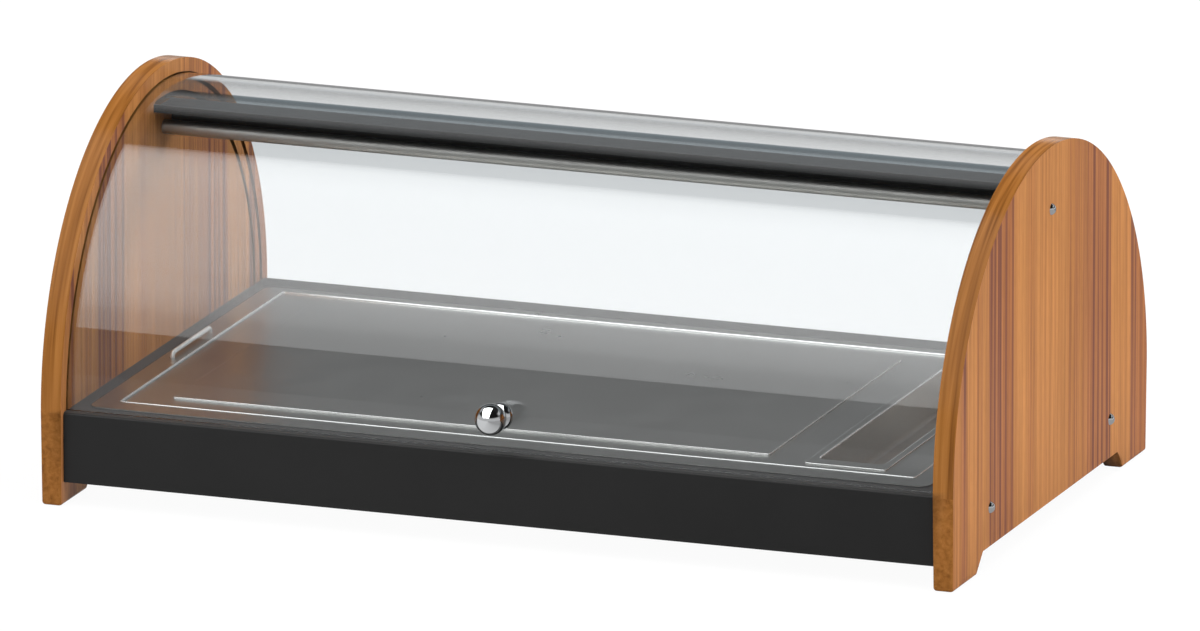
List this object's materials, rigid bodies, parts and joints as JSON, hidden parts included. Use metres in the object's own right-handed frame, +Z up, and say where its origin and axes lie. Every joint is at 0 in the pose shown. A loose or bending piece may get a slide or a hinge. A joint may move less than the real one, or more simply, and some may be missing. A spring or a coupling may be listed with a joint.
{
  "type": "refrigerated buffet display",
  "caption": "Table-top buffet display with arched wood side panels, a clear curved cover that slides open over a fixed one, and a lift-out tray over cold packs.",
  "frame": {"origin": "on the table, under the middle of the object's bounding box; the knob stands out in front, so the arch centre lies 11.3 mm behind it", "axes": "+X to the right seen from the front, +Y to the rear, +Z up"},
  "size_m": [0.8152, 0.5076, 0.3225],
  "materials": {
    "wood_panel": "teak-look melamine board with straight vertical grain, satin lacquer",
    "black_plastic": "moulded black ABS, fine satin grain",
    "clear_acrylic": "clear cast acrylic sheet, polished",
    "satin_steel": "satin rolled stainless sheet",
    "brushed_steel": "brushed stainless steel",
    "chrome": "polished chrome plate",
    "black_rail": "black anodised aluminium, satin",
    "zinc_steel": "zinc plated steel",
    "foam": "rigid polyurethane foam",
    "liner": "thermoformed polystyrene",
    "pack_shell": "blow moulded polyethylene",
    "pack_cap": "moulded polyethylene"
  },
  "bodies": {
    "housing": {"left_panel": "wood_panel", "right_panel": "wood_panel", "base_casing": "black_plastic", "bottom_cover": "zinc_steel", "bottom_cover_screws": "zinc_steel", "insulation_tub": "foam", "inner_liner": "liner", "cold_pack_left": "pack_shell", "cold_pack_right": "pack_shell", "cold_pack_caps": "pack_cap", "rear_cover": "clear_acrylic", "top_rail": "black_rail", "tie_bar": "brushed_steel", "tie_bar_inserts": "zinc_steel", "tie_bar_screws": "chrome", "base_screws_left": "chrome", "base_screws_right": "chrome", "base_nuts": "zinc_steel"},
    "sliding_cover": {"front_cover": "clear_acrylic", "knob": "chrome", "knob_flange": "chrome", "knob_washer": "zinc_steel", "knob_screw": "zinc_steel"},
    "lift_out_tray": {"tray": "satin_steel", "tray_handle_left": "chrome", "tray_handle_right": "chrome"},
    "lift_out_plate": {"serving_plate": "satin_steel"},
    "lift_out_trough": {"utensil_trough": "brushed_steel"}
  },
  "joints": [
    {"name": "cover_slide", "type": "hinge", "parent": "housing", "child": "sliding_cover", "pos_m": [0, 0.01131, 0.08], "axis": [-1, 0, 0], "range_deg": [0, 70]},
    {"name": "tray_lift", "type": "slide", "parent": "housing", "child": "lift_out_tray", "axis": [0, 0, 1], "range_m": [0, 0.035]},
    {"name": "plate_lift", "type": "slide", "parent": "lift_out_tray", "child": "lift_out_plate", "axis": [0, 0, 1], "range_m": [0, 0.08]},
    {"name": "trough_lift", "type": "slide", "parent": "lift_out_tray", "child": "lift_out_trough", "axis": [0, 0, 1], "range_m": [0, 0.06]}
  ]
}
